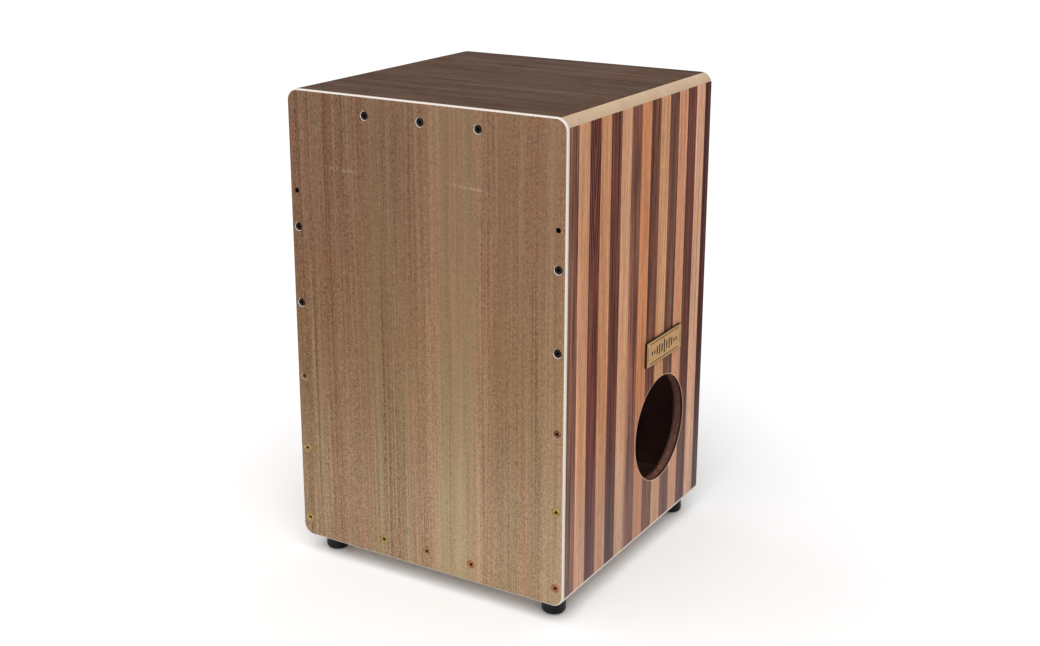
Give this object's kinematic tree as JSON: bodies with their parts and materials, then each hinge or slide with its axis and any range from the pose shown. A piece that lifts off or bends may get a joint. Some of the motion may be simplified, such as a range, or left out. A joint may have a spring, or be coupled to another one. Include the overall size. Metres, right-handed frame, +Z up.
{
  "type": "cajon",
  "caption": "Box drum with a screwed plywood striking plate, side sound hole, rubber feet and a snare bar set by two key adjusters.",
  "frame": {"origin": "on the floor under the middle of the drum's width and depth, without the name plate", "axes": "+Z up, -Y toward the player's striking plate, +X toward the side with the sound hole"},
  "size_m": [0.3025, 0.2924, 0.473],
  "materials": {
    "board": "satin",
    "stained_board": "satin",
    "walnut": "satin",
    "dark_strip": "satin",
    "light_strip": "satin",
    "batten": "matte",
    "plywood": "matte",
    "face_veneer": "satin",
    "plate_screw": "yellow zinc",
    "plate": "laser-cut",
    "rubber": "matte",
    "zinc": "zinc plated",
    "steel": "brushed",
    "snare_wire": "bright",
    "black_bolt": "black oxide"
  },
  "bodies": {
    "drum": {"top_panel": "board", "bottom_panel": "board", "left_side_panel": "board", "right_side_panel": "stained_board", "back_panel": "board", "back_veneer": "walnut", "top_veneer": "walnut", "left_dark_strips": "dark_strip", "left_light_strips": "light_strip", "right_dark_strips": "dark_strip", "right_light_strips": "light_strip", "front_top_batten": "batten", "front_bottom_batten": "batten", "rear_top_batten": "batten", "rear_bottom_batten": "batten", "rear_left_batten": "batten", "rear_right_batten": "batten", "tapa_core": "plywood", "tapa_veneer": "face_veneer", "top_tapa_screws": "plate_screw", "left_tapa_screws": "plate_screw", "right_tapa_screws": "plate_screw", "bottom_tapa_screws": "plate_screw", "name_plate": "plate", "foot_front_left": "rubber", "foot_front_right": "rubber", "foot_rear_left": "rubber", "foot_rear_right": "rubber", "foot_washers": "zinc", "foot_screws": "zinc", "left_adjuster_bracket": "zinc", "right_adjuster_bracket": "zinc", "bracket_screws": "zinc"},
    "snare": {"snare_bar": "steel", "snare_packers": "batten", "left_snare_wires": "snare_wire", "right_snare_wires": "snare_wire", "snare_clip_screws": "zinc"},
    "left_bolt": {"left_adjuster": "black_bolt"},
    "right_bolt": {"right_adjuster": "black_bolt"}
  },
  "joints": [
    {"name": "left_adjuster_turn", "type": "hinge", "parent": "drum", "child": "left_bolt", "pos_m": [-0.142, -0.14225, 0.376], "axis": [0, -1, 0], "range_deg": [0, 1440]},
    {"name": "right_adjuster_turn", "type": "hinge", "parent": "drum", "child": "right_bolt", "pos_m": [0.142, -0.14225, 0.376], "axis": [0, -1, 0], "range_deg": [0, 1440]},
    {"name": "snare_bar_travel", "type": "slide", "parent": "drum", "child": "snare", "axis": [0, 1, 0], "range_m": [0, 0.0032]}
  ],
  "couplings": [
    {"joint": "left_adjuster_turn", "follows": "snare_bar_travel", "rad_per_m": 7854},
    {"joint": "right_adjuster_turn", "follows": "snare_bar_travel", "rad_per_m": 7854}
  ]
}
